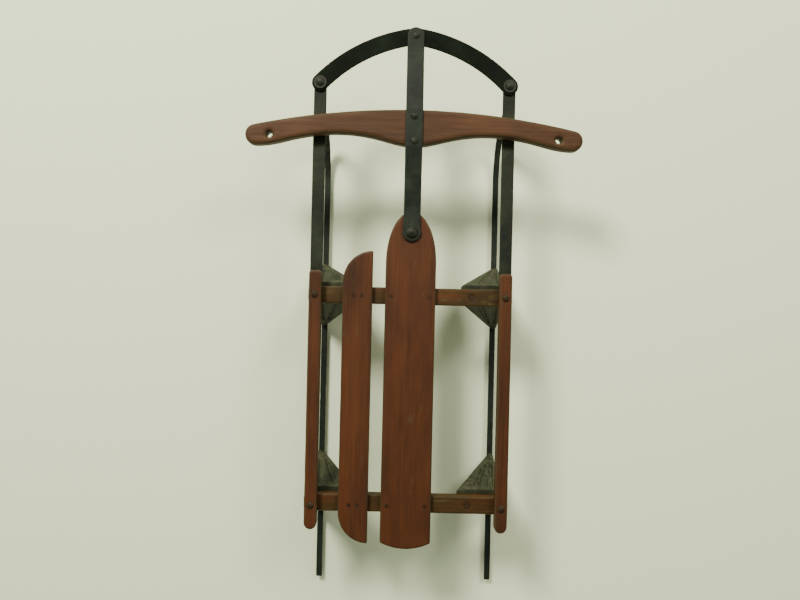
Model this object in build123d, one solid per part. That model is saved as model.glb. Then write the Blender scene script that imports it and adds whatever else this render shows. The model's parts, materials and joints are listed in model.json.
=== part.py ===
from build123d import *
from math import atan2, cos, degrees, radians, sin, sqrt, tan
import os

# Steerable steel-runner sled, standing on its runners.
# +X is the rider's right, +Y is forwards, +Z is up, and the origin is on the ground
# under the middle of the sled. Millimetres.

# Overall layout
overall_length = 864.0       # runner tails to the front edge of the bow
track = 279.4                # between the centrelines of the two runners
bench_spacing = 308.4        # front bench to rear bench
front_bench_setback = 396.3  # front edge of the bow back to the front bench
pivot_setback = 302.3        # front edge of the bow back to the steering pivot

# Runners: a T section with its flange on top
runner_height = 12.0
runner_width = 10.0
flange_thickness = 3.0
web_thickness = 4.0
tail_radius = 9.0
sweep_angle = 72.0           # how steeply the front of a runner rises
sweep_radius = 84.0
toe_radius = 18.0            # bend from the rise into the flat tongue
web_end_height = 88.0        # the web is ground away above this
runner_cut_gap = 0.3         # slit between the fixed and the flexing half of a runner
joint_margin = 2.3           # the slit ahead of the front knee's foot

# Knees: pressed sheet, open on the outside
knee_height = 108.0
knee_sheet = 2.0
knee_head_reach = 64.0       # inner edge of the head, inwards of the runner line
knee_head_overlap = 5.0      # outer edge of the head, outwards of the runner line
knee_head_length = 30.0
knee_head_forward = 4.5      # the head stands this much ahead of the bench's middle
knee_foot_length = 104.0
knee_fold_radius = 6.0

# Benches, slats and rails: wood
bench_width = 25.4
bench_thickness = 20.0
bench_overhang = 2.4         # past the rail's outer face
bench_corner = 6.0
bench_edge = 1.2
slat_thickness = 10.0
slat_edge = 2.0
centre_slat_width = 74.6
centre_slat_nose = 76.0      # length of the half-ellipse at the front
nose_past_pivot = 31.0       # slat nose ahead of the steering pivot
rear_overhang = 64.0         # centre slat behind the rear bench
rear_crown = 9.0             # bulge of the centre slat's rear end
side_slat_gap = 18.5
side_slat_width = 44.0
side_slat_front = 66.0       # ahead of the front bench
side_slat_rear = 57.0        # behind the rear bench
side_slat_taper = 46.0       # length of each curved end
side_slat_edge = 1.0
rail_width = 19.0
rail_thickness = 16.0
rail_front = 36.0            # ahead of the front bench
rail_rear = 36.5             # behind the rear bench
rail_corner = 5.0
rail_edge = 3.0

# Straps, bow and steering handle
side_strap_width = 19.0
side_strap_thickness = 3.0
bow_width = 25.4
bow_thickness = 3.5
bow_pivot_setback = 83.6     # front edge of the bow back to the pivots at its ends
bow_bulge = 13.3             # sagitta of each half of the bow
steering_strap_width = 25.4
steering_strap_thickness = 3.5
pivot_eye_radius = 14.0
strap_bend_radius = 12.0
handle_length = 492.0
handle_thickness = 21.0
handle_setback = 153.4       # front edge of the bow back to midway between the handle's rivets
handle_rivet_spacing = 36.0
handle_middle_front = 28.5   # front and rear edges, from midway between the rivets
handle_middle_rear = 25.0
handle_cusp_x = 50.0
handle_cusp_rear = 15.5
handle_waist_inner_x = 88.0
handle_waist_outer_x = 130.0
handle_waist_rear = 9.2
handle_shoulder_x = 182.0
handle_shoulder_rear = 18.5
handle_end_radius = 15.0
handle_end_drop = 12.0       # end circles behind the rivets' middle
handle_edge = 5.0
strap_flat_past_nose = 6.0   # the strap lies flat this far past the slat's nose
rope_hole_spacing = 421.0
rope_hole_radius = 4.5
rope_mouth_radius = 7.5
rope_mouth_depth = 3.0

# Fasteners
pivot_bolt_radius = 4.0
pivot_head_radius = 9.0
pivot_head_height = 6.0
pivot_washer_radius = 11.0
pivot_washer_thickness = 1.6
pivot_nut_size = 14.0
pivot_nut_height = 6.5
pin_radius = 3.5             # rivets that links turn on
pin_head_radius = 6.5
pin_head_height = 3.6
ring_radius = 9.5
ring_thickness = 1.6
small_rivet_radius = 2.5
small_head_radius = 5.6
small_head_height = 3.0
burr_radius = 5.5
burr_thickness = 1.4
clench_height = 1.6
clench_share = 1.35          # a clenched end is this much wider than its shank
foot_rivet_radius = 1.5
foot_rivet_head_radius = 3.4
foot_rivet_head_height = 1.8
foot_rivet_depth = 4.0       # below the runner's flange
foot_rivet_inset = 8.0       # from the ends of the knee's foot
nail_radius = 1.2
nail_head_radius = 2.6
nail_head_height = 0.8
nail_length = 24.0
centre_nail_spacing = 56.0
side_nail_spacing = 12.0
knee_bolt_radius = 3.0
knee_bolt_head_radius = 5.2
knee_bolt_head_height = 2.4
knee_bolt_inset = 48.5       # inwards of the runner line
knee_nut_size = 10.0
knee_nut_height = 4.5
nut_corner_share = 0.1       # chamfer of a nut's corners, as a share of its size
thread_end = 2.5             # bolts stand this far past their nuts

# Clearances
face_gap = 0.3               # between flat faces that slide on each other
shank_gap = 0.05             # shank in a hole of the same body
pin_gap = 0.1                # turning pin in its hole
loose_pin_gap = 0.45         # bow ends, where the linkage closes
handle_gap = 0.6             # handle over the side straps
sweep_gap = 0.4              # swept edges that pass each other
nut_gap = 0.1                # keeps a nut's thread clear of its bolt

# Heights
knee_top = runner_height + knee_height
bench_top = knee_top + bench_thickness
slat_top = bench_top + slat_thickness
rail_top = bench_top + rail_thickness
side_strap_bottom = bench_top + face_gap
side_strap_top = side_strap_bottom + side_strap_thickness
rail_notch_top = side_strap_top + face_gap
bow_bottom = side_strap_top + face_gap
bow_top = bow_bottom + bow_thickness
strap_on_bow = bow_top + face_gap
strap_on_slat = slat_top + face_gap
handle_bottom = side_strap_top + handle_gap
handle_top = handle_bottom + handle_thickness

# Places along the sled
front_y = overall_length / 2
tail_y = -overall_length / 2
front_bench_y = front_y - front_bench_setback
rear_bench_y = front_bench_y - bench_spacing
pivot_y = front_y - pivot_setback
apex_y = front_y - bow_width / 2
bow_pivot_y = front_y - bow_pivot_setback
handle_y = front_y - handle_setback
handle_rivet_ys = (handle_y - handle_rivet_spacing / 2, handle_y + handle_rivet_spacing / 2)
side_x = track / 2
side_slat_x = -(centre_slat_width / 2 + side_slat_gap)
knee_bolt_x = side_x - knee_bolt_inset
bench_ys = {"front": front_bench_y, "rear": rear_bench_y}
side_signs = {"left": -1, "right": 1}
side_nail_x = side_slat_x - side_slat_width / 2
nail_xs = (-centre_nail_spacing / 2, centre_nail_spacing / 2,
           side_nail_x - side_nail_spacing / 2, side_nail_x + side_nail_spacing / 2)
bare_nail_xs = (-side_nail_x - side_nail_spacing / 2, -side_nail_x + side_nail_spacing / 2)


def plate(face, bottom, thickness):
    """Give a flat outline drawn on XY its height."""
    return Pos(0, 0, bottom) * extrude(face, thickness)


def rod(radius, x, y, bottom, top):
    return Pos(x, y, bottom) * Cylinder(radius, top - bottom,
                                        align=(Align.CENTER, Align.CENTER, Align.MIN))


def dome(radius, height, x, y, bottom):
    """A spherical cap that sits on the height called bottom."""
    sphere_radius = (radius ** 2 + height ** 2) / (2 * height)
    sphere = Pos(x, y, bottom + height - sphere_radius) * Sphere(sphere_radius)
    return sphere & rod(radius, x, y, bottom, bottom + height)


def slot_plate(start, end, width, bottom, thickness):
    """A flat bar with round ends about two points."""
    run_x, run_y = end[0] - start[0], end[1] - start[1]
    middle = Pos((start[0] + end[0]) / 2, (start[1] + end[1]) / 2)
    turn = Rot(0, 0, degrees(atan2(run_y, run_x)))
    length = sqrt(run_x ** 2 + run_y ** 2)
    return plate(middle * turn * SlotCenterToCenter(length, width), bottom, thickness)


def across(profile, width):
    """A YZ face widened evenly to both sides of the centre plane."""
    return extrude(profile, width / 2, both=True)


def for_side(solid, side):
    """Right-hand pieces are drawn, and left-hand ones are their mirror images."""
    return solid if side == "right" else mirror(solid, about=Plane.YZ)


def save(name, *solids):
    shapes = [piece for solid in solids for piece in solid.solids()]
    model = shapes[0] if len(shapes) == 1 else Compound(children=shapes)
    export_step(model, "parts/" + name + ".step")


def nail(x, y):
    return (rod(nail_head_radius, x, y, slat_top, slat_top + nail_head_height)
            + rod(nail_radius, x, y, slat_top - nail_length, slat_top))


def nail_holes(xs):
    """Holes for the nails in both benches."""
    return [rod(nail_radius + shank_gap, x, y, slat_top - nail_length - shank_gap, slat_top)
            for x in xs for y in bench_ys.values()]


def rail_rivet_holes(bottom, top):
    return [rod(small_rivet_radius + shank_gap, sign * side_x, y, bottom, top)
            for sign in side_signs.values() for y in bench_ys.values()]


# Slats
def centre_slat():
    half = centre_slat_width / 2
    nose_y = pivot_y + nose_past_pivot
    shoulder_y = nose_y - centre_slat_nose
    rear_y = rear_bench_y - rear_overhang
    corner_y = rear_y + rear_crown
    nose = EllipticalCenterArc((0, shoulder_y), half, centre_slat_nose, arc_size=180)
    tail = ThreePointArc((-half, corner_y), (0, rear_y), (half, corner_y))
    sides = [Line((half, corner_y), (half, shoulder_y)), Line((-half, shoulder_y), (-half, corner_y))]
    slat = plate(make_face([nose, tail] + sides), bench_top, slat_thickness)
    slat = fillet(slat.faces().sort_by(Axis.Z)[-1].edges(), slat_edge)
    slat -= rod(pivot_bolt_radius + shank_gap, 0, pivot_y, bench_top, slat_top)
    return slat - nail_holes(nail_xs)


def side_slat():
    """The left narrow slat: a straight inner edge, and an outer edge that curves in to it."""
    inner = side_slat_x
    outer = side_slat_x - side_slat_width
    front = front_bench_y + side_slat_front
    rear = rear_bench_y - side_slat_rear
    halfway = sin(radians(45))
    middle_x = inner - side_slat_width * halfway
    middle_rise = side_slat_taper * (1 - halfway)
    outline = [
        Line((inner, rear), (inner, front)),
        ThreePointArc((inner, front), (middle_x, front - middle_rise), (outer, front - side_slat_taper)),
        Line((outer, front - side_slat_taper), (outer, rear + side_slat_taper)),
        ThreePointArc((outer, rear + side_slat_taper), (middle_x, rear + middle_rise), (inner, rear)),
    ]
    slat = plate(make_face(outline), bench_top, slat_thickness)
    slat = chamfer(slat.faces().sort_by(Axis.Z)[-1].edges(), side_slat_edge)
    return slat - nail_holes(nail_xs)


def bench(y):
    length = track + rail_width + 2 * bench_overhang
    block = Pos(0, y, knee_top) * Box(length, bench_width, bench_thickness,
                                      align=(Align.CENTER, Align.CENTER, Align.MIN))
    block = fillet(block.edges().filter_by(Axis.Z), bench_corner)
    block = fillet(block.faces().filter_by(Axis.Z).edges(), bench_edge)
    block -= rail_rivet_holes(knee_top, bench_top)
    for sign in side_signs.values():
        x = sign * knee_bolt_x
        block -= rod(knee_bolt_radius + shank_gap, x, y, knee_top, bench_top)
        block -= rod(knee_bolt_head_radius + shank_gap, x, y, bench_top - knee_bolt_head_height, bench_top)
    return block - nail_holes(nail_xs) - nail_holes(bare_nail_xs)


def side_rail():
    """Right-hand rail, notched from below over the side strap."""
    front = front_bench_y + rail_front
    rear = rear_bench_y - rail_rear
    half = rail_width / 2
    outline = [
        Line((side_x - half, rear + half), (side_x - half, front)),
        Line((side_x - half, front), (side_x + half, front)),
        Line((side_x + half, front), (side_x + half, rear + half)),
        ThreePointArc((side_x + half, rear + half), (side_x, rear), (side_x - half, rear + half)),
    ]
    rail = plate(make_face(outline), bench_top, rail_thickness)
    front_corners = rail.edges().filter_by(Axis.Z).group_by(Axis.Y)[-1]
    rail = fillet(front_corners, rail_corner)
    rail = fillet(rail.faces().sort_by(Axis.Z)[-1].edges(), rail_edge)
    notch_height = rail_notch_top - bench_top
    notch = Pos(side_x, front_bench_y, bench_top) * Box(
        2 * rail_width, 2 * rail_front, notch_height, align=(Align.CENTER, Align.MIN, Align.MIN))
    notch += rod(side_strap_width / 2 + sweep_gap, side_x, front_bench_y, bench_top, rail_notch_top)
    return rail - notch - rail_rivet_holes(bench_top, rail_top)


# Knees
def knee_section(head, foot):
    """A solid that narrows between two rectangles, each given as inner x, outer x, middle y,
    half length and height, with x from the runner line."""
    sections = []
    for inner, outer, middle_y, half_length, height in (foot, head):
        centre = Plane((side_x + (inner + outer) / 2, middle_y, height))
        sections.append(centre * Rectangle(outer - inner, 2 * half_length))
    return loft(sections, ruled=True)


def knee(y):
    """Right-hand knee: a head plate, a foot plate and two wings about a sloping inner wall."""
    foot_half = runner_width / 2
    head_y = y + knee_head_forward
    head_half = knee_head_length / 2
    outside = knee_section((-knee_head_reach, knee_head_overlap, head_y, head_half, knee_top),
                           (-foot_half, foot_half, y, knee_foot_length / 2, runner_height))
    inner_corners = [edge for edge in outside.edges() if edge.bounding_box().size.Z > knee_height / 2
                     and edge.center().X < side_x - foot_half]
    outside = fillet(inner_corners, knee_fold_radius)
    hollow = knee_section(
        (-knee_head_reach + knee_sheet, track, head_y, head_half - knee_sheet, knee_top),
        (-foot_half + knee_sheet, track, y, knee_foot_length / 2 - knee_sheet, runner_height))
    room = Pos(side_x, y, runner_height + knee_sheet) * Box(
        2 * track, 2 * knee_foot_length, knee_height - 2 * knee_sheet,
        align=(Align.CENTER, Align.CENTER, Align.MIN))
    return outside - (hollow & room) - knee_holes(y)


def knee_holes(y):
    """Holes for the two fasteners of the head and the rivets of the foot."""
    head_bottom = knee_top - knee_sheet
    holes = [rod(small_rivet_radius + shank_gap, side_x, y, head_bottom, knee_top),
             rod(knee_bolt_radius + shank_gap, knee_bolt_x, y, head_bottom, knee_top)]
    for rivet_y in foot_rivet_ys(y):
        holes.append(rod(foot_rivet_radius + shank_gap, side_x, rivet_y, runner_height,
                         runner_height + knee_sheet))
    return holes


def foot_rivet_ys(bench_y):
    reach = knee_foot_length / 2 - foot_rivet_inset
    return [bench_y + share * reach for share in (-1, -1 / 3, 1 / 3, 1)]


# Runners
def runner_line(depth):
    """The side view of one face of a runner, from the tail to the toe's flat tongue, at a depth
    below the flange's top."""
    angle = radians(sweep_angle)
    height = runner_height - depth
    tongue = side_strap_bottom - depth
    toe_start_y = bow_pivot_y - side_strap_width / 2
    toe_end = (bow_pivot_y, tongue)
    outer = toe_radius - depth
    toe_rise = outer * (1 - cos(angle))
    top = (toe_start_y - outer * sin(angle), tongue - toe_rise)
    rise_radius = sweep_radius + depth
    low_z = height + rise_radius * (1 - cos(angle))
    low = (top[0] - (top[1] - low_z) / tan(angle), low_z)
    sweep_start = (low[0] - rise_radius * sin(angle), height)
    return {
        "start": sweep_start,
        "sweep": JernArc(sweep_start, (1, 0), rise_radius, sweep_angle),
        "rise": Line(low, top),
        "toe": JernArc(top, (cos(angle), sin(angle)), outer, -sweep_angle),
        "tongue": Line((toe_start_y, tongue), toe_end),
        "end": toe_end,
    }


def runner_band(top_depth, bottom_depth):
    """The side view between two depths of a runner, from its tail to its toe."""
    upper = runner_line(top_depth)
    lower = runner_line(bottom_depth)
    lines = [line[part] for line in (upper, lower) for part in ("sweep", "rise", "toe", "tongue")]
    lines += [Line((tail_y, upper["start"][1]), upper["start"]),
              Line((tail_y, lower["start"][1]), lower["start"]),
              Line((tail_y, lower["start"][1]), (tail_y, upper["start"][1])),
              Line(upper["end"], lower["end"])]
    return Plane.YZ * make_face(lines)


def runner():
    """Right-hand runner in one length, before it is parted at the flexing joint."""
    flange = across(runner_band(0, flange_thickness), runner_width)
    web = across(runner_band(flange_thickness, runner_height), web_thickness)
    toe_room = Pos(0, 0, web_end_height) * Box(track, 2 * overall_length, track,
                                               align=(Align.CENTER, Align.CENTER, Align.MIN))
    bar = Pos(side_x, 0, 0) * (flange + (web - toe_room))
    tail_corner = Pos(side_x, tail_y, 0) * Box(runner_width, 2 * tail_radius, 2 * tail_radius)
    tail_round = Pos(side_x, tail_y + tail_radius, tail_radius) * Rot(0, 90, 0) * Cylinder(
        tail_radius, runner_width)
    bar -= tail_corner - tail_round
    eye_bottom = side_strap_bottom - flange_thickness
    bar += rod(side_strap_width / 2, side_x, bow_pivot_y, eye_bottom, side_strap_bottom)
    return bar - rod(pin_radius + shank_gap, side_x, bow_pivot_y, eye_bottom, side_strap_bottom)


def ahead_of_joint(radius):
    """Everything ahead of the front knees, outside a cylinder about the link's rivet."""
    ahead = Pos(side_x, front_bench_y, 0) * Box(track, overall_length, track * 2,
                                                align=(Align.CENTER, Align.MIN, Align.CENTER))
    return ahead - rod(radius, side_x, front_bench_y, -track, track)


def runner_halves():
    whole = runner()
    joint_radius = knee_foot_length / 2 + joint_margin
    rear = whole - ahead_of_joint(joint_radius)
    front = whole & ahead_of_joint(joint_radius + runner_cut_gap)
    for y in bench_ys.values():
        for rivet_y in foot_rivet_ys(y):
            rear -= rod(foot_rivet_radius + shank_gap, side_x, rivet_y,
                        runner_height - foot_rivet_depth - shank_gap, runner_height)
    return rear, front


# Straps, bow and handle
def side_strap():
    start = (side_x, front_bench_y)
    end = (side_x, bow_pivot_y)
    strap = slot_plate(start, end, side_strap_width, side_strap_bottom, side_strap_thickness)
    strap -= rod(small_rivet_radius + pin_gap, *start, side_strap_bottom, side_strap_top)
    return strap - rod(pin_radius + shank_gap, *end, side_strap_bottom, side_strap_top)


def bow():
    apex = Vector(0, apex_y)
    pieces = []
    for sign in side_signs.values():
        end = Vector(sign * side_x, bow_pivot_y)
        chord = end - apex
        outwards = Vector(-chord.Y, chord.X) * sign / chord.length
        middle = (apex + end) / 2 + outwards * bow_bulge
        pieces.append(SlotArc(ThreePointArc(apex, middle, end), bow_width))
    bar = plate(pieces[0] + pieces[1], bow_bottom, bow_thickness)
    for sign in side_signs.values():
        bar -= rod(pin_radius + loose_pin_gap, sign * side_x, bow_pivot_y, bow_bottom, bow_top)
    return bar - rod(small_rivet_radius + pin_gap, 0, apex_y, bow_bottom, bow_top)


def steering_strap():
    """A flat bar bent up over the handle and down on to the bow."""
    handle_front = handle_y + handle_middle_front
    handle_rear = handle_y - handle_middle_rear
    climb_start = pivot_y + nose_past_pivot + strap_flat_past_nose
    drop_end = apex_y - bow_width
    stations = ((pivot_y - 2 * pivot_eye_radius, strap_on_slat), (climb_start, strap_on_slat),
                (handle_rear, handle_top), (handle_front, handle_top),
                (drop_end, strap_on_bow), (front_y + bow_width, strap_on_bow))
    lifted = [(y, z + steering_strap_thickness) for y, z in stations]
    under = FilletPolyline(*stations, radius=strap_bend_radius)
    over = FilletPolyline(*lifted, radius=strap_bend_radius)
    side = make_face([under, over, Line(stations[0], lifted[0]), Line(stations[-1], lifted[-1])])
    bent = across(Plane.YZ * side, 4 * pivot_eye_radius)
    height = handle_top + steering_strap_thickness
    outline = slot_plate((0, pivot_y), (0, apex_y), steering_strap_width, 0, height)
    outline += rod(pivot_eye_radius, 0, pivot_y, 0, height)
    strap = bent & outline
    strap -= rod(pivot_bolt_radius + pin_gap, 0, pivot_y, 0, height)
    strap -= rod(small_rivet_radius + shank_gap, 0, apex_y, 0, height)
    for y in handle_rivet_ys:
        strap -= rod(small_rivet_radius + shank_gap, 0, y, 0, height)
    return strap


def steering_handle():
    """A wooden crossbar, widest under the strap, slim at its waists and round at its ends."""
    half_length = handle_length / 2
    end_x = half_length - handle_end_radius
    rise = handle_end_drop + handle_middle_front
    front_radius = ((end_x ** 2 + rise ** 2 - handle_end_radius ** 2)
                    / (2 * (rise - handle_end_radius)))
    share = front_radius / (front_radius - handle_end_radius)
    front_centre = handle_middle_front - front_radius
    touch_x = share * end_x
    touch_y = front_centre + share * (-handle_end_drop - front_centre)
    rear_y = -handle_end_radius - handle_end_drop
    right_rear = [(end_x, rear_y), (handle_shoulder_x, -handle_shoulder_rear),
                  (handle_waist_outer_x, -handle_waist_rear), (handle_waist_inner_x, -handle_waist_rear),
                  (handle_cusp_x, -handle_cusp_rear)]
    left_rear = [(-x, y) for x, y in reversed(right_rear)]
    outline = [
        ThreePointArc((-touch_x, touch_y), (0, handle_middle_front), (touch_x, touch_y)),
        ThreePointArc((touch_x, touch_y), (half_length, -handle_end_drop), (end_x, rear_y)),
        Spline(*right_rear, (0, -handle_middle_rear), *left_rear, tangents=((-1, 0), (-1, 0))),
        ThreePointArc((-end_x, rear_y), (-half_length, -handle_end_drop), (-touch_x, touch_y)),
    ]
    bar = plate(Pos(0, handle_y) * make_face(outline), handle_bottom, handle_thickness)
    bar = fillet(bar.faces().filter_by(Axis.Z).edges(), handle_edge)
    for y in handle_rivet_ys:
        bar -= rod(small_rivet_radius + shank_gap, 0, y, handle_bottom, handle_top)
    for sign in side_signs.values():
        x, y = sign * rope_hole_spacing / 2, handle_y - handle_end_drop
        bar -= rod(rope_hole_radius, x, y, handle_bottom, handle_top)
        mouth = Cone(rope_hole_radius, rope_mouth_radius, rope_mouth_depth,
                     align=(Align.CENTER, Align.CENTER, Align.MAX))
        bar -= Pos(x, y, handle_top) * mouth
    return bar


# Fasteners
def pin(radius, head_radius, head_height, x, y, seat, end, burr_top):
    """A rivet with a domed head on seat, and its clenched end below burr_top."""
    return (dome(head_radius, head_height, x, y, seat) + rod(radius, x, y, end, seat)
            + rod(radius * clench_share, x, y, end, burr_top))


def ring(outer, inner, x, y, bottom, thickness):
    return rod(outer, x, y, bottom, bottom + thickness) - rod(inner, x, y, bottom, bottom + thickness)


def square_nut(size, bore, height, x, y, top):
    nut = Pos(x, y, top - height) * Box(size, size, height,
                                        align=(Align.CENTER, Align.CENTER, Align.MIN))
    nut = chamfer(nut.edges().filter_by(Axis.Z), size * nut_corner_share)
    return nut - rod(bore, x, y, top - height, top)


def pivot_bolt():
    end = bench_top - pivot_washer_thickness - pivot_nut_height - thread_end
    head_seat = strap_on_slat + steering_strap_thickness
    return (dome(pivot_head_radius, pivot_head_height, 0, pivot_y, head_seat + face_gap)
            + rod(pivot_bolt_radius, 0, pivot_y, end, head_seat + face_gap))


def bow_rivet(side):
    """Joins a side strap and the runner's toe, and passes loosely through the bow's end."""
    under = side_strap_bottom - flange_thickness
    x = side_signs[side] * side_x
    seat = bow_top + face_gap + ring_thickness
    return pin(pin_radius, pin_head_radius, pin_head_height, x, bow_pivot_y, seat,
               under - clench_height, under)


def apex_rivet():
    """Turns in the bow with the steering strap."""
    seat = strap_on_bow + steering_strap_thickness
    under = bow_bottom - face_gap - burr_thickness
    return pin(small_rivet_radius, small_head_radius, small_head_height, 0, apex_y, seat,
               under - clench_height, under)


def handle_rivets():
    seat = handle_top + steering_strap_thickness
    under = handle_bottom - burr_thickness
    return [pin(small_rivet_radius, small_head_radius, small_head_height, 0, y, seat,
                under - clench_height, under) for y in handle_rivet_ys]


def rail_rivet(side, y):
    under = knee_top - knee_sheet - burr_thickness
    return pin(small_rivet_radius, small_head_radius, small_head_height, side_signs[side] * side_x, y,
               rail_top, under - clench_height, under)


def knee_bolt(side, y):
    x = side_signs[side] * knee_bolt_x
    end = knee_top - knee_sheet - knee_nut_height - thread_end
    return (rod(knee_bolt_head_radius, x, y, bench_top - knee_bolt_head_height, bench_top)
            + rod(knee_bolt_radius, x, y, end, bench_top - knee_bolt_head_height))


def foot_rivet(side, y):
    x = side_signs[side] * side_x
    seat = runner_height + knee_sheet
    return (dome(foot_rivet_head_radius, foot_rivet_head_height, x, y, seat)
            + rod(foot_rivet_radius, x, y, runner_height - foot_rivet_depth, seat))


def save_sides():
    """Everything that comes as a left and a right piece."""
    rear_runner, front_runner = runner_halves()
    for side, sign in side_signs.items():
        x = sign * side_x
        save(side + "_side_rail", for_side(side_rail(), side))
        save(side + "_runner", for_side(rear_runner, side))
        save(side + "_runner_front", for_side(front_runner, side))
        save(side + "_side_strap", for_side(side_strap(), side))
        save("bow_" + side + "_rivet", bow_rivet(side))
        save("bow_" + side + "_ring", ring(ring_radius, pin_radius + shank_gap, x, bow_pivot_y,
                                           bow_top + face_gap, ring_thickness))
        for end, y in bench_ys.items():
            foot_rivets = [foot_rivet(side, rivet_y) for rivet_y in foot_rivet_ys(y)]
            save(end + "_" + side + "_knee", for_side(knee(y), side))
            save(end + "_" + side + "_foot_rivets", *foot_rivets)


def save_pivots():
    """The pivot bolt's stack, and the rivets of the bow's apex and of the handle."""
    washer_bottom = bench_top - pivot_washer_thickness
    shank_hole = small_rivet_radius + shank_gap
    save("pivot_bolt", pivot_bolt())
    save("pivot_washer", ring(pivot_washer_radius, pivot_bolt_radius + shank_gap, 0, pivot_y,
                              washer_bottom, pivot_washer_thickness))
    save("pivot_nut", square_nut(pivot_nut_size, pivot_bolt_radius + nut_gap, pivot_nut_height,
                                 0, pivot_y, washer_bottom))
    save("apex_rivet", apex_rivet())
    save("apex_rivet_burr", ring(burr_radius, shank_hole, 0, apex_y,
                                 bow_bottom - face_gap - burr_thickness, burr_thickness))
    save("handle_rivets", *handle_rivets())
    save("handle_rivet_burrs", *[ring(burr_radius, shank_hole, 0, y, handle_bottom - burr_thickness,
                                      burr_thickness) for y in handle_rivet_ys])


def save_frame_fasteners():
    places = [(side, y) for side in side_signs for y in bench_ys.values()]
    plate_bottom = knee_top - knee_sheet
    burrs = [ring(burr_radius, small_rivet_radius + shank_gap, side_signs[side] * side_x, y,
                  plate_bottom - burr_thickness, burr_thickness) for side, y in places]
    nuts = [square_nut(knee_nut_size, knee_bolt_radius + nut_gap, knee_nut_height,
                       side_signs[side] * knee_bolt_x, y, plate_bottom) for side, y in places]
    save("rail_rivets", *[rail_rivet(side, y) for side, y in places])
    save("rail_rivet_burrs", *burrs)
    save("knee_bolts", *[knee_bolt(side, y) for side, y in places])
    save("knee_nuts", *nuts)
    save("slat_nails", *[nail(x, y) for x in nail_xs for y in bench_ys.values()])


def main():
    os.makedirs("parts", exist_ok=True)
    save("centre_slat", centre_slat())
    save("left_slat", side_slat())
    for end, y in bench_ys.items():
        save(end + "_bench", bench(y))
    save("bow", bow())
    save("steering_strap", steering_strap())
    save("steering_handle", steering_handle())
    save_sides()
    save_pivots()
    save_frame_fasteners()


main()
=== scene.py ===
import json
import math
import bmesh
import bpy
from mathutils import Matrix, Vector, noise

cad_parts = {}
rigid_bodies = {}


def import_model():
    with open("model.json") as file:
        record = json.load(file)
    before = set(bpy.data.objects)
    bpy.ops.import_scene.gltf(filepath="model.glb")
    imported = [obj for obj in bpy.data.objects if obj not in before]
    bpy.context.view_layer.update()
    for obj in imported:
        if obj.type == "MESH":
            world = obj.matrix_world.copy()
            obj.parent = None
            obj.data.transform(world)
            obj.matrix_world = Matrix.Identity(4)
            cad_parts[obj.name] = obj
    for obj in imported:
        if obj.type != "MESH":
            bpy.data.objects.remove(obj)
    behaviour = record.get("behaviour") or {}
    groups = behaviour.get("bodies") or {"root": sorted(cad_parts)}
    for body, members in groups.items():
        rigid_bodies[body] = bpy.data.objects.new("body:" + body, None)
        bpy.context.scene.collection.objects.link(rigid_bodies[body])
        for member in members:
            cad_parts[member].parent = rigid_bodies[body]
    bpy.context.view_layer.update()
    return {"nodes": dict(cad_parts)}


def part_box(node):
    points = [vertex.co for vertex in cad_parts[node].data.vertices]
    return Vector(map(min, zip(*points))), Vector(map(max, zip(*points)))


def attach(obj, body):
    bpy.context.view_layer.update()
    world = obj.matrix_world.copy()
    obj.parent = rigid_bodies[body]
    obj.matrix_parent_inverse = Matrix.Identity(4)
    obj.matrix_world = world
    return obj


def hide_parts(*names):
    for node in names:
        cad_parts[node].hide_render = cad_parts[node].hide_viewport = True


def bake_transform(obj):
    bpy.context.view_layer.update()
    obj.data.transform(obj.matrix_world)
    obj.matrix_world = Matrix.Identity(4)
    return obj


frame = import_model()
cadNodes = frame["nodes"]


# Small helpers

def deselectAll():
    for item in bpy.context.view_layer.objects:
        item.select_set(False)
    bpy.context.view_layer.objects.active = None


def makeActive(piece):
    deselectAll()
    piece.select_set(True)
    bpy.context.view_layer.objects.active = piece


def applyModifier(piece, kind, name, **values):
    modifier = piece.modifiers.new(name, kind)
    for key, value in values.items():
        setattr(modifier, key, value)
    makeActive(piece)
    bpy.ops.object.modifier_apply(modifier=name)


def settlePlace(piece):
    makeActive(piece)
    bpy.ops.object.transform_apply(location=True, rotation=True, scale=True)


def joinPieces(pieces, name):
    deselectAll()
    for piece in pieces:
        piece.select_set(True)
    bpy.context.view_layer.objects.active = pieces[0]
    bpy.ops.object.join()
    joined = bpy.context.view_layer.objects.active
    joined.name = name
    joined.data.name = name
    return joined


def dress(piece, material):
    piece.data.materials.clear()
    piece.data.materials.append(material)


# Materials. All patterns read Object coordinates, in metres.

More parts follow.
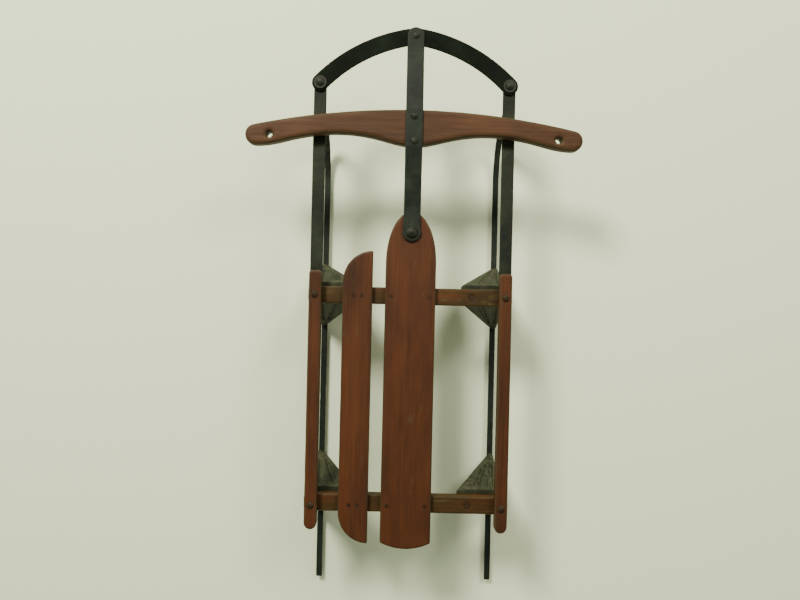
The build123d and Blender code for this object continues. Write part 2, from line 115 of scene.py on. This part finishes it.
class Shader:    # one node material, with short ways to add what the finishes share

    def __init__(self, name):
        self.material = bpy.data.materials.new(name)
        self.material.use_nodes = True
        self.tree = self.material.node_tree
        self.tree.nodes.clear()
        self.output = self.add("ShaderNodeOutputMaterial")
        self.surface = self.add("ShaderNodeBsdfPrincipled")
        self.place = self.add("ShaderNodeTexCoord")
        self.join(self.surface.outputs["BSDF"], self.output.inputs["Surface"])

    def add(self, kind, **values):
        node = self.tree.nodes.new(kind)
        for key, value in values.items():
            setattr(node, key, value)
        return node

    def join(self, source, target):
        self.tree.links.new(source, target)

    def stretched(self, scale, shift=(0, 0, 0)):
        mapping = self.add("ShaderNodeMapping")
        mapping.inputs["Scale"].default_value = scale
        mapping.inputs["Location"].default_value = shift
        self.join(self.place.outputs["Object"], mapping.inputs["Vector"])
        return mapping.outputs["Vector"]

    def noise(self, scale, shift=(0, 0, 0), detail=5.0, rough=0.55, distortion=0.0):
        texture = self.add("ShaderNodeTexNoise")
        texture.inputs["Scale"].default_value = 1.0
        texture.inputs["Detail"].default_value = detail
        texture.inputs["Roughness"].default_value = rough
        texture.inputs["Distortion"].default_value = distortion
        self.join(self.stretched(scale, shift), texture.inputs["Vector"])
        return texture.outputs["Fac"]

    def ramp(self, source, stops):    # stops are (place, value), and a value is a grey or a colour
        node = self.add("ShaderNodeValToRGB")
        elements = node.color_ramp.elements
        while len(elements) < len(stops):
            elements.new(0.5)
        for element, (place, value) in zip(elements, stops):
            element.position = place
            element.color = (value, value, value, 1) if isinstance(value, float) else (*value, 1)
        self.join(source, node.inputs["Fac"])
        return node.outputs["Color"]

    def mix(self, share, first, second, blend="MIX"):
        node = self.add("ShaderNodeMix", data_type="RGBA", blend_type=blend)
        self.feed(node.inputs[0], share)     # factor
        self.feed(node.inputs[6], first)     # colours A and B
        self.feed(node.inputs[7], second)
        return node.outputs[2]

    def feed(self, socket, value):
        if isinstance(value, bpy.types.NodeSocket):
            self.join(value, socket)
        elif isinstance(value, (int, float)):
            socket.default_value = value
        else:
            socket.default_value = (*value, 1)

    def sum(self, operation, first, second):
        node = self.add("ShaderNodeMath", operation=operation, use_clamp=True)
        self.feed(node.inputs[0], first)
        self.feed(node.inputs[1], second)
        return node.outputs[0]

    def topEdges(self):    # white where a face rolls over from the top or the bottom to a side
        split = self.add("ShaderNodeSeparateXYZ")
        self.join(self.place.outputs["Normal"], split.inputs[0])
        lean = self.add("ShaderNodeMath", operation="ABSOLUTE")
        self.join(split.outputs["Z"], lean.inputs[0])
        return self.ramp(lean.outputs[0], [(0.08, 0.0), (0.35, 1.0), (0.8, 1.0), (0.985, 0.0)])

    def bump(self, height, distance, strength=1.0):
        node = self.add("ShaderNodeBump")
        node.inputs["Distance"].default_value = distance
        node.inputs["Strength"].default_value = strength
        self.join(height, node.inputs["Height"])
        self.join(node.outputs["Normal"], self.surface.inputs["Normal"])


def alongGrain(axis, frequencies):    # frequencies are across and along the grain
    across, along = frequencies
    scale = [across, across, across]
    scale["XYZ".index(axis)] = along
    return tuple(scale)


woodGrain = {
    # How many times a pattern changes in a metre, across and along the grain
    "fibres": (900, 14), "streaks": (190, 4.5), "tones": (26, 7), "patches": (95, 24),
    "scratches": (1300, 22),
    # Where the scratches lie, and how much of each pattern shows
    "scratchPlace": (0.4, 0.7, 0.1), "scratchShare": 0.35, "wearWidth": 0.07, "wearSmooths": 0.5,
    "fibreRelief": 0.45, "relief": 0.0006, "reliefStrength": 0.7, "glossRange": 0.16, "shine": 0.18,
}


def agedWood(name, axis, shift, look):    # paint on wood whose grain runs along axis
    shader = Shader(name)
    fibres = shader.noise(alongGrain(axis, woodGrain["fibres"]), shift, detail=6, rough=0.65)
    streaks = shader.noise(alongGrain(axis, woodGrain["streaks"]), shift, detail=7, rough=0.62,
                           distortion=0.35)
    tones = shader.noise(alongGrain(axis, woodGrain["tones"]), shift, detail=4)
    patches = shader.noise(alongGrain(axis, woodGrain["patches"]), shift, detail=8, rough=0.72,
                           distortion=0.5)
    edges = shader.topEdges()

    paint = shader.ramp(tones, [(0.3, look["deep"]), (0.52, look["paint"]), (0.72, look["bright"])])
    grain = shader.ramp(streaks, [(0.32, look["grainDark"]), (0.5, 0.95),
                                  (0.68, look["grainLight"])])
    paint = shader.mix(1.0, paint, grain, "MULTIPLY")
    fine = shader.ramp(fibres, [(0.3, 0.78), (0.6, 1.1)])
    paint = shader.mix(1.0, paint, fine, "MULTIPLY")

    bareTone = shader.ramp(streaks, [(0.3, look["bareDark"]), (0.65, look["bare"])])
    edgeWear = shader.ramp(patches, [(0.26, 0.15 * look["edgeWear"]), (0.46, look["edgeWear"])])
    edgeWear = shader.sum("MULTIPLY", edges, edgeWear)
    wearTo = look["wearFrom"] + woodGrain["wearWidth"]
    faceWear = shader.ramp(patches, [(look["wearFrom"], 0.0), (wearTo, 1.0)])
    wear = shader.sum("MAXIMUM", edgeWear, shader.sum("MULTIPLY", faceWear, look["faceWear"]))
    colour = shader.mix(wear, paint, bareTone)

    scratches = shader.noise(alongGrain(axis, woodGrain["scratches"]), woodGrain["scratchPlace"],
                             detail=2)
    scratchMask = shader.ramp(scratches, [(0.67, 0.0), (0.72, 1.0)])
    scratchShare = shader.sum("MULTIPLY", scratchMask, woodGrain["scratchShare"])
    colour = shader.mix(scratchShare, colour, look["bare"])
    shader.join(colour, shader.surface.inputs["Base Color"])

    dull = look["roughness"] + woodGrain["glossRange"]
    roughness = shader.ramp(streaks, [(0.3, dull), (0.7, look["roughness"])])
    shader.join(roughness, shader.surface.inputs["Roughness"])
    height = shader.mix(woodGrain["fibreRelief"], streaks, fibres)
    smoothed = shader.sum("MULTIPLY", wear, woodGrain["wearSmooths"])
    height = shader.mix(smoothed, height, (0.2, 0.2, 0.2))    # worn wood lies low and smooth
    shader.bump(height, woodGrain["relief"], woodGrain["reliefStrength"])
    shader.surface.inputs["Specular IOR Level"].default_value = woodGrain["shine"]
    return shader.material


enamelWear = {
    "clouds": 22, "mottle": 140, "specks": 620,    # how many times each changes in a metre
    "rustWidth": 0.06, "pitShare": 0.6, "roughRange": 0.25,
    "speckRelief": 0.5, "relief": 0.0004, "reliefStrength": 0.6,
}


def agedSteel(name, shift, look):    # old enamel on steel, with rust where it has gone
    shader = Shader(name)
    clouds = shader.noise([enamelWear["clouds"]] * 3, shift, detail=5)
    mottle = shader.noise([enamelWear["mottle"]] * 3, shift, detail=8, rough=0.7)
    specks = shader.noise([enamelWear["specks"]] * 3, shift, detail=4, rough=0.6)
    edges = shader.topEdges()

    enamel = shader.ramp(clouds, [(0.35, look["deep"]), (0.55, look["enamel"]),
                                  (0.72, look["light"])])
    enamel = shader.mix(1.0, enamel, shader.ramp(mottle, [(0.35, 0.72), (0.62, 1.18)]), "MULTIPLY")
    rust = shader.ramp(specks, [(0.35, look["rustDark"]), (0.65, look["rust"])])
    rustTo = look["rustFrom"] + enamelWear["rustWidth"]
    rustSpread = shader.ramp(mottle, [(look["rustFrom"], 0.0), (rustTo, 1.0)])
    pits = shader.ramp(specks, [(0.62, 0.0), (0.68, 1.0)])
    rusty = shader.sum("MAXIMUM", rustSpread, shader.sum("MULTIPLY", pits, enamelWear["pitShare"]))
    colour = shader.mix(shader.sum("MULTIPLY", rusty, look["rustShare"]), enamel, rust)
    rubbed = shader.sum("MULTIPLY", edges, shader.ramp(mottle, [(0.42, 0.0), (0.56, 1.0)]))
    colour = shader.mix(shader.sum("MULTIPLY", rubbed, look["edgeShare"]), colour, look["edge"])
    shader.join(colour, shader.surface.inputs["Base Color"])

    dull = look["roughness"] + enamelWear["roughRange"]
    roughness = shader.ramp(mottle, [(0.35, look["roughness"]), (0.65, dull)])
    shader.join(roughness, shader.surface.inputs["Roughness"])
    height = shader.mix(enamelWear["speckRelief"], mottle, specks)
    shader.bump(height, enamelWear["relief"], enamelWear["reliefStrength"])
    shader.surface.inputs["Metallic"].default_value = look["metal"]
    shader.surface.inputs["Specular IOR Level"].default_value = look["shine"]
    return shader.material


woodLook = {
    "paint": (0.061, 0.0176, 0.0052), "deep": (0.038, 0.0122, 0.0040),
    "bright": (0.080, 0.0245, 0.0076), "bare": (0.076, 0.055, 0.024),
    "bareDark": (0.030, 0.021, 0.009), "edgeWear": 0.85,
    "grainDark": 0.74, "grainLight": 1.08, "wearFrom": 0.60, "faceWear": 0.55, "roughness": 0.50,
}
handleLook = dict(woodLook, paint=(0.062, 0.0240, 0.0092), deep=(0.036, 0.0146, 0.0058),
                  bright=(0.088, 0.0360, 0.0150), wearFrom=0.63, edgeWear=0.8)
benchLook = dict(woodLook, paint=(0.040, 0.0190, 0.0042), deep=(0.022, 0.0110, 0.0028),
                 bright=(0.076, 0.0230, 0.0055), bare=(0.070, 0.050, 0.013), wearFrom=0.54,
                 faceWear=0.7)
steelLook = {
    "enamel": (0.0105, 0.0142, 0.0094), "deep": (0.0058, 0.0080, 0.0056),
    "light": (0.019, 0.025, 0.016), "rust": (0.040, 0.024, 0.011),
    "rustDark": (0.015, 0.010, 0.006), "rustFrom": 0.60, "rustShare": 0.5,
    "edge": (0.034, 0.037, 0.028), "edgeShare": 0.6, "roughness": 0.48, "metal": 0.0, "shine": 0.17,
}
bowLook = dict(steelLook, enamel=(0.0050, 0.0078, 0.0046), deep=(0.0028, 0.0044, 0.0028),
               light=(0.010, 0.014, 0.009), edge=(0.018, 0.024, 0.014), roughness=0.62,
               shine=0.06)
linkLook = dict(steelLook, enamel=(0.0125, 0.0165, 0.0085), light=(0.024, 0.029, 0.016),
                rustFrom=0.56, shine=0.16)
kneeLook = dict(steelLook, enamel=(0.022, 0.025, 0.010), deep=(0.009, 0.011, 0.0045),
                light=(0.050, 0.053, 0.026), rust=(0.050, 0.030, 0.010), rustFrom=0.55,
                rustShare=0.7, edge=(0.066, 0.066, 0.040), shine=0.25)
rivetLook = dict(steelLook, enamel=(0.0110, 0.0132, 0.0086), deep=(0.0060, 0.0074, 0.0050),
                 light=(0.021, 0.023, 0.015), rustFrom=0.52, edge=(0.034, 0.036, 0.025),
                 roughness=0.44, metal=0.1, shine=0.24)
paintedLook = dict(rivetLook, enamel=(0.027, 0.0115, 0.0044), deep=(0.015, 0.0070, 0.0030),
                   light=(0.040, 0.0180, 0.0070), edge=(0.040, 0.030, 0.015), roughness=0.55,
                   metal=0.0, shine=0.16)

centreSlatPaint = agedWood("centreSlatPaint", "Y", (0.11, 0.23, 0.05), woodLook)
sideSlatPaint = agedWood("sideSlatPaint", "Y", (0.71, 0.39, 0.15), woodLook)
railPaint = agedWood("railPaint", "Y", (0.37, 0.91, 0.33), woodLook)
handlePaint = agedWood("handlePaint", "X", (0.52, 0.13, 0.82), handleLook)
benchWood = agedWood("benchWood", "X", (0.66, 0.47, 0.28), benchLook)
barEnamel = agedSteel("barEnamel", (0.3, 0.1, 0.6), steelLook)
bowEnamel = agedSteel("bowEnamel", (0.2, 0.4, 0.1), bowLook)
linkEnamel = agedSteel("linkEnamel", (0.9, 0.6, 0.3), linkLook)
kneeEnamel = agedSteel("kneeEnamel", (0.8, 0.2, 0.4), kneeLook)
rivetSteel = agedSteel("rivetSteel", (0.5, 0.9, 0.2), rivetLook)
paintedSteel = agedSteel("paintedSteel", (0.1, 0.7, 0.5), paintedLook)
print("materials made")


# Worn copies: a CAD node's shape with softened edges, dents and a slight unevenness

smoothFactor = 0.5     # how far towards its neighbours a smoothing pass moves a corner
cadMerge = 0.000002    # corners of a CAD mesh nearer than this are one


def wornCopy(node, name, body, material, look):
    piece = bpy.data.objects.new(name, cadNodes[node].data.copy())
    bpy.context.scene.collection.objects.link(piece)
    makeActive(piece)
    bpy.ops.object.mode_set(mode="EDIT")
    bpy.ops.mesh.select_all(action="SELECT")
    bpy.ops.mesh.remove_doubles(threshold=cadMerge)
    bpy.ops.object.mode_set(mode="OBJECT")
    evenOut(piece, look)
    roughen(piece, look)
    finishPiece(piece, material)
    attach(piece, body)
    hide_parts(node)


def evenOut(piece, look):    # one closed skin of even faces, with its corners softened
    applyModifier(piece, "REMESH", "even", mode="VOXEL", voxel_size=look["grid"], adaptivity=0)
    applyModifier(piece, "SMOOTH", "soften", factor=smoothFactor, iterations=look["soften"])


def roughen(piece, look):    # sinks dents and hollows in; nothing is raised, so the size stays
    mesh = piece.data
    normals = [vertex.normal.copy() for vertex in mesh.vertices]
    for vertex, normal in zip(mesh.vertices, normals):
        spot = Vector(vertex.co)
        spot[look["grain"]] *= look["stretch"]
        hollow = noise.noise(spot * look["hollowScale"]) * 0.5 + 0.5
        dent = max(0.0, noise.noise(spot * look["dentScale"]) - look["dentFrom"])
        vertex.co = vertex.co - normal * (hollow * look["hollow"] + dent * look["dent"])
    mesh.update()


def finishPiece(piece, material):
    dress(piece, material)
    makeActive(piece)
    bpy.ops.object.shade_smooth()


plankWear = {"grid": 0.0016, "soften": 3, "grain": 1, "stretch": 0.15, "hollowScale": 45,
             "hollow": 0.00018, "dentScale": 210, "dentFrom": 0.30, "dent": 0.0006}
crossWear = dict(plankWear, grain=0, grid=0.0015)    # grain 0 and 1 are along X and Y
handleWear = dict(crossWear, hollow=0.00015, dent=0.0006)
barWear = {"grid": 0.0010, "soften": 4, "grain": 1, "stretch": 0.5, "hollowScale": 60,
           "hollow": 0.0002, "dentScale": 160, "dentFrom": 0.3, "dent": 0.0006}
bowWear = dict(barWear, grain=0)
runnerWear = dict(barWear, soften=3, hollow=0.00015)

wornCopy("centre_slat", "centreSlat", "frame", centreSlatPaint, plankWear)
wornCopy("left_slat", "leftSlat", "frame", sideSlatPaint, plankWear)
for side in ("left", "right"):
    wornCopy(side + "_side_rail", side + "SideRail", "frame", railPaint, plankWear)
for end in ("front", "rear"):
    wornCopy(end + "_bench", end + "Bench", "frame", benchWood, crossWear)
wornCopy("steering_handle", "steeringCrossbar", "steering", handlePaint, handleWear)
print("wood made")
wornCopy("bow", "bowBar", "bow_bar", bowEnamel, bowWear)
wornCopy("steering_strap", "steeringStrap", "steering", barEnamel, barWear)
for side in ("left", "right"):
    wornCopy(side + "_side_strap", side + "SideStrap", side + "_link", linkEnamel,
             barWear)
print("straps and bow made")


# Runners: one bending bar each, with a flange on top of a web

runnerBar = {
    "width": 0.010, "height": 0.012, "flange": 0.003, "web": 0.004,
    "sweepAngle": 72, "sweepRadius": 0.084, "toeRadius": 0.018, "eyeRadius": 0.0095,
    "webEnd": 0.100, "webTaper": 0.034, "sweepSteps": 30, "toeSteps": 14, "eyeSides": 48,
    "merge": 0.00001, "bendLength": 0.19,
}


def runnerPlaces(look, toe):    # where the top face of the runner bends, seen from the side
    angle = math.radians(look["sweepAngle"])
    toeStart = toe.y - look["eyeRadius"]
    topZ = toe.z - look["toeRadius"] * (1 - math.cos(angle))
    topY = toeStart - look["toeRadius"] * math.sin(angle)
    lowZ = look["height"] + look["sweepRadius"] * (1 - math.cos(angle))
    lowY = topY - (topZ - lowZ) / math.tan(angle)
    return {"angle": angle, "toeStart": toeStart, "low": Vector((0, lowY, lowZ)),
            "top": Vector((0, topY, topZ)), "sweepY": lowY - look["sweepRadius"] * math.sin(angle)}


def extrudeBy(step):
    bpy.ops.mesh.extrude_region_move(TRANSFORM_OT_translate={"value": step})


def sweepBand(name, width, depthTop, depthBottom, tail, toe, look):
    # A strip of the runner's side view, from tail to toe; the depths are below the flange's top
    places = runnerPlaces(look, toe)
    middle = look["height"] - (depthTop + depthBottom) / 2
    deselectAll()
    bpy.ops.mesh.primitive_plane_add(size=1, location=(toe.x, tail, middle),
                                     rotation=(math.pi / 2, 0, 0))
    strip = bpy.context.view_layer.objects.active
    strip.name = name
    strip.scale = (width, depthBottom - depthTop, 1)
    settlePlace(strip)
    bpy.ops.object.mode_set(mode="EDIT")
    bpy.ops.mesh.select_all(action="SELECT")
    extrudeBy((0, places["sweepY"] - tail, 0))
    bpy.ops.mesh.spin(steps=look["sweepSteps"], angle=-places["angle"], axis=(1, 0, 0),
                      center=(toe.x, places["sweepY"], look["height"] + look["sweepRadius"]))
    extrudeBy(places["top"] - places["low"])
    bpy.ops.mesh.spin(steps=look["toeSteps"], angle=places["angle"], axis=(1, 0, 0),
                      center=(toe.x, places["toeStart"], toe.z - look["toeRadius"]))
    extrudeBy((0, look["eyeRadius"], 0))
    bpy.ops.mesh.select_all(action="SELECT")
    bpy.ops.mesh.remove_doubles(threshold=look["merge"])
    bpy.ops.mesh.normals_make_consistent(inside=False)
    bpy.ops.object.mode_set(mode="OBJECT")
    return strip


def taperWeb(web, toe, look):    # grinds the web away towards the toe, along a long slope
    places = runnerPlaces(look, toe)
    along = Vector((0, math.cos(places["angle"]), math.sin(places["angle"])))
    outwards = Vector((0, along.z, -along.y))
    climb = (look["webEnd"] - places["low"].z) / along.z
    start = places["low"] + along * climb
    slope = outwards * look["height"] - along * look["webTaper"]
    makeActive(web)
    bpy.ops.object.mode_set(mode="EDIT")
    bpy.ops.mesh.select_all(action="SELECT")
    bpy.ops.mesh.bisect(plane_co=start, plane_no=(0, -slope.z, slope.y), use_fill=True,
                        clear_outer=True)
    bpy.ops.object.mode_set(mode="OBJECT")


def makeRunner(side):
    look = runnerBar
    rearLow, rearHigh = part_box(side + "_runner")
    frontLow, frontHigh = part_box(side + "_runner_front")
    x = (rearLow[0] + rearHigh[0]) / 2
    toe = Vector((x, frontHigh[1] - look["eyeRadius"], frontHigh[2]))
    tail = rearLow[1]
    flange = sweepBand(side + "Flange", look["width"], 0, look["flange"], tail, toe, look)
    web = sweepBand(side + "Web", look["web"], look["flange"] / 2, look["height"], tail, toe, look)
    taperWeb(web, toe, look)
    deselectAll()
    bpy.ops.mesh.primitive_cylinder_add(vertices=look["eyeSides"], radius=look["eyeRadius"],
                                        depth=look["flange"],
                                        location=toe - Vector((0, 0, look["flange"] / 2)))
    eye = bpy.context.view_layer.objects.active
    settlePlace(eye)
    runner = joinPieces([flange, web, eye], side + "RunnerBar")
    evenOut(runner, runnerWear)
    roughen(runner, runnerWear)
    finishPiece(runner, barEnamel)
    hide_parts(side + "_runner", side + "_runner_front")
    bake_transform(runner)


for side in ("left", "right"):
    makeRunner(side)
print("runners made")


# Knees: pressed sheet, folded round three sides, with two flutes in each wing and a panel inside

pressedKnee = {
    "footWidth": 0.010, "headLength": 0.030, "headForward": 0.0045, "sheet": 0.0018,
    "foldRound": 0.006, "foldSteps": 4,
    "fluteShares": ((0.17, 0.34), (0.50, 0.67)),    # across the wing, from the runner side
    "fluteFoot": 0.030, "fluteHead": 0.010,         # plain stretches below and above a flute
    "fluteSlope": 0.0014, "fluteDepth": 0.0030,
    "panelBorder": 0.008, "panelDepth": 0.0022,
    "cornerRise": 0.05,    # the four corner edges rise more than this
}
kneeWear = {"grid": 0.0009, "soften": 3, "grain": 2, "stretch": 0.6, "hollowScale": 50,
            "hollow": 0.0003, "dentScale": 130, "dentFrom": 0.3, "dent": 0.0009}
sideSigns = {"left": -1, "right": 1}
facing = 0.8      # a face looks along an axis when its normal has more than this share of it
maxLean = 0.02    # the inner wall's normal has less than this share along the sled
near = 0.001      # faces with their centres this near to the outer side lie in it


def pickFaces(piece, test):    # in edit mode, selects the faces whose normal and centre pass
    bpy.ops.mesh.select_mode(type="FACE")
    mesh = bmesh.from_edit_mesh(piece.data)
    mesh.normal_update()
    for face in mesh.faces:
        face.select_set(bool(test(face.normal, face.calc_center_median())))
    bmesh.update_edit_mesh(piece.data)


def pickCornerEdges(piece, rise, test):
    bpy.ops.mesh.select_mode(type="EDGE")
    mesh = bmesh.from_edit_mesh(piece.data)
    for edge in mesh.edges:
        start, stop = [corner.co for corner in edge.verts]
        edge.select_set(bool(abs(start.z - stop.z) > rise and test((start + stop) / 2)))
    bmesh.update_edit_mesh(piece.data)


def pressFaces(piece, test, slope, depth):    # insets what test picks and sinks it by depth
    pickFaces(piece, test)
    mesh = bmesh.from_edit_mesh(piece.data)
    normal = next(face.normal.copy() for face in mesh.faces if face.select)
    bpy.ops.mesh.inset(thickness=slope, depth=0)
    bpy.ops.transform.translate(value=-normal * depth)


def kneePlaces(node, side, look):    # where a knee's foot, head and flutes lie
    low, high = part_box(node)
    sign = sideSigns[side]
    outer, inner = (high[0], low[0]) if side == "right" else (low[0], high[0])
    foot = Vector((outer - sign * look["footWidth"] / 2, (low[1] + high[1]) / 2,
                   (low[2] + high[2]) / 2))
    return {
        "low": low, "high": high, "sign": sign, "outer": outer, "foot": foot,
        "headX": (outer + inner) / 2, "headY": foot.y + look["headForward"],
        "headWidth": abs(outer - inner), "footLength": high[1] - low[1],
        "fluteLow": low[2] + look["fluteFoot"], "fluteHigh": high[2] - look["fluteHead"],
    }


def kneeBlank(name, places, look):    # a block with its head widened and its two folds rounded
    low, high, foot, sign = (places[key] for key in ("low", "high", "foot", "sign"))
    deselectAll()
    bpy.ops.mesh.primitive_cube_add(size=1, location=foot)
    knee = bpy.context.view_layer.objects.active
    knee.name = knee.data.name = name
    knee.scale = (look["footWidth"], places["footLength"], high[2] - low[2])
    settlePlace(knee)
    bpy.ops.object.mode_set(mode="EDIT")
    pickFaces(knee, lambda normal, centre: normal.z > facing)
    headScale = (places["headWidth"] / look["footWidth"], look["headLength"] / places["footLength"], 1)
    bpy.ops.transform.resize(value=headScale, center_override=(foot.x, foot.y, high[2]))
    bpy.ops.transform.translate(value=(places["headX"] - foot.x, look["headForward"], 0))
    pickCornerEdges(knee, look["cornerRise"],
                    lambda centre: sign * (centre.x - foot.x) < -look["footWidth"] / 2)
    bpy.ops.mesh.bevel(offset=look["foldRound"], segments=look["foldSteps"])
    return knee


def cutWing(knee, way, places, look):    # fan lines bound the flutes, and two level cuts end them
    low, high, outer, sign = (places[key] for key in ("low", "high", "outer", "sign"))
    footY = high[1] if way > 0 else low[1]
    headY = places["headY"] + way * look["headLength"] / 2
    wingNormal = Vector((0, high[2] - low[2], footY - headY)) * way

    def onWing(normal, centre):
        return way * normal.y > facing

    for share in [share for pair in look["fluteShares"] for share in pair]:
        top = Vector((outer - sign * places["headWidth"] * share, headY, high[2]))
        bottom = Vector((outer - sign * look["footWidth"] * share, footY, low[2]))
        pickFaces(knee, onWing)
        bpy.ops.mesh.bisect(plane_co=bottom,
                            plane_no=(top - bottom).cross(wingNormal).normalized())
    for height in (places["fluteLow"], places["fluteHigh"]):
        pickFaces(knee, onWing)
        bpy.ops.mesh.bisect(plane_co=(0, 0, height), plane_no=(0, 0, 1))


def pressFlute(knee, way, shares, places, look):
    low, high = places["low"], places["high"]

    def inFlute(normal, centre):
        rise = (centre.z - low[2]) / (high[2] - low[2])
        width = look["footWidth"] + (places["headWidth"] - look["footWidth"]) * rise
        across = places["sign"] * (places["outer"] - centre.x) / width
        return (way * normal.y > facing and shares[0] < across < shares[1]
                and places["fluteLow"] < centre.z < places["fluteHigh"])

    pressFaces(knee, inFlute, look["fluteSlope"], look["fluteDepth"])


def makeKnee(end, side):
    look = pressedKnee
    node = end + "_" + side + "_knee"
    places = kneePlaces(node, side, look)
    sign, outer = places["sign"], places["outer"]
    knee = kneeBlank(end + side.capitalize() + "Knee", places, look)
    for way in (1, -1):
        cutWing(knee, way, places, look)
        for shares in look["fluteShares"]:
            pressFlute(knee, way, shares, places, look)
    pressFaces(knee, lambda normal, centre: sign * normal.x < -facing and abs(normal.y) < maxLean,
               look["panelBorder"], look["panelDepth"])
    pickFaces(knee, lambda normal, centre: sign * normal.x > facing and abs(centre.x - outer) < near)
    bpy.ops.mesh.delete(type="FACE")    # the sheet is open towards the runner's outer side
    bpy.ops.object.mode_set(mode="OBJECT")
    applyModifier(knee, "SOLIDIFY", "sheet", thickness=look["sheet"], offset=-1)
    evenOut(knee, kneeWear)
    roughen(knee, kneeWear)
    finishPiece(knee, kneeEnamel)
    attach(knee, "frame")
    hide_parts(node)


for end in ("front", "rear"):
    for side in ("left", "right"):
        makeKnee(end, side)
print("knees made")


# Fasteners keep their CAD shapes

fastenerWords = ("rivet", "_ring", "bolt", "nut", "washer", "nail", "burr")
paintedOver = ("slat_nails", "rail_rivets", "knee_bolts")
for node, item in cadNodes.items():
    if any(word in node for word in fastenerWords):
        dress(item, paintedSteel if node in paintedOver else rivetSteel)
print("fasteners dressed")


# Floor, lights and camera

studio = {
    "floorSize": 14.0, "floorTone": (0.80, 0.85, 0.62), "floorRoughness": 0.8,
    "lampTone": (1.0, 0.995, 0.85),
    "keyPlace": (-1.1, 1.9, 2.3), "keySize": 0.8, "keyPower": 140,
    "fillPlace": (1.3, 1.7, 2.3), "fillSize": 1.0, "fillPower": 52,
    "skyTone": (0.87, 0.93, 0.72), "skyStrength": 0.46,
}
cameraSet = {"lens": 31.97, "sensor": 36, "nearest": 0.01, "height": 1.194, "forward": 0.030,
             "sideways": -0.0150, "roll": 1.3}


def makeFloor():
    bpy.ops.mesh.primitive_plane_add(size=studio["floorSize"], location=(0, 0, 0))
    floor = bpy.context.view_layer.objects.active
    floor.name = "paleFloor"
    paper = Shader("paleFloor")
    paper.surface.inputs["Base Color"].default_value = (*studio["floorTone"], 1)
    paper.surface.inputs["Roughness"].default_value = studio["floorRoughness"]
    dress(floor, paper.material)


def makeLight(name, place, size, power):
    lamp = bpy.data.lights.new(name, "AREA")
    lamp.shape = "DISK"
    lamp.size = size
    lamp.energy = power
    lamp.color = studio["lampTone"]
    holder = bpy.data.objects.new(name, lamp)
    holder.location = place
    holder.rotation_euler = (-Vector(place)).to_track_quat("-Z", "Y").to_euler()
    bpy.context.scene.collection.objects.link(holder)


def makeCamera():
    lens = bpy.data.cameras.new("viewCamera")
    lens.lens = cameraSet["lens"]
    lens.sensor_width = cameraSet["sensor"]
    lens.clip_start = cameraSet["nearest"]
    camera = bpy.data.objects.new("viewCamera", lens)
    camera.location = (cameraSet["sideways"], cameraSet["forward"], cameraSet["height"])
    camera.rotation_euler = (0, 0, math.radians(cameraSet["roll"]))
    bpy.context.scene.collection.objects.link(camera)
    bpy.context.scene.camera = camera


def makeSky():
    sky = bpy.data.worlds.new("softSky")
    sky.use_nodes = True
    background = sky.node_tree.nodes["Background"]
    background.inputs["Color"].default_value = (*studio["skyTone"], 1)
    background.inputs["Strength"].default_value = studio["skyStrength"]
    bpy.context.scene.world = sky


makeFloor()
makeLight("keyLight", studio["keyPlace"], studio["keySize"], studio["keyPower"])
makeLight("fillLight", studio["fillPlace"], studio["fillSize"], studio["fillPower"])
makeSky()
makeCamera()
print("studio made")
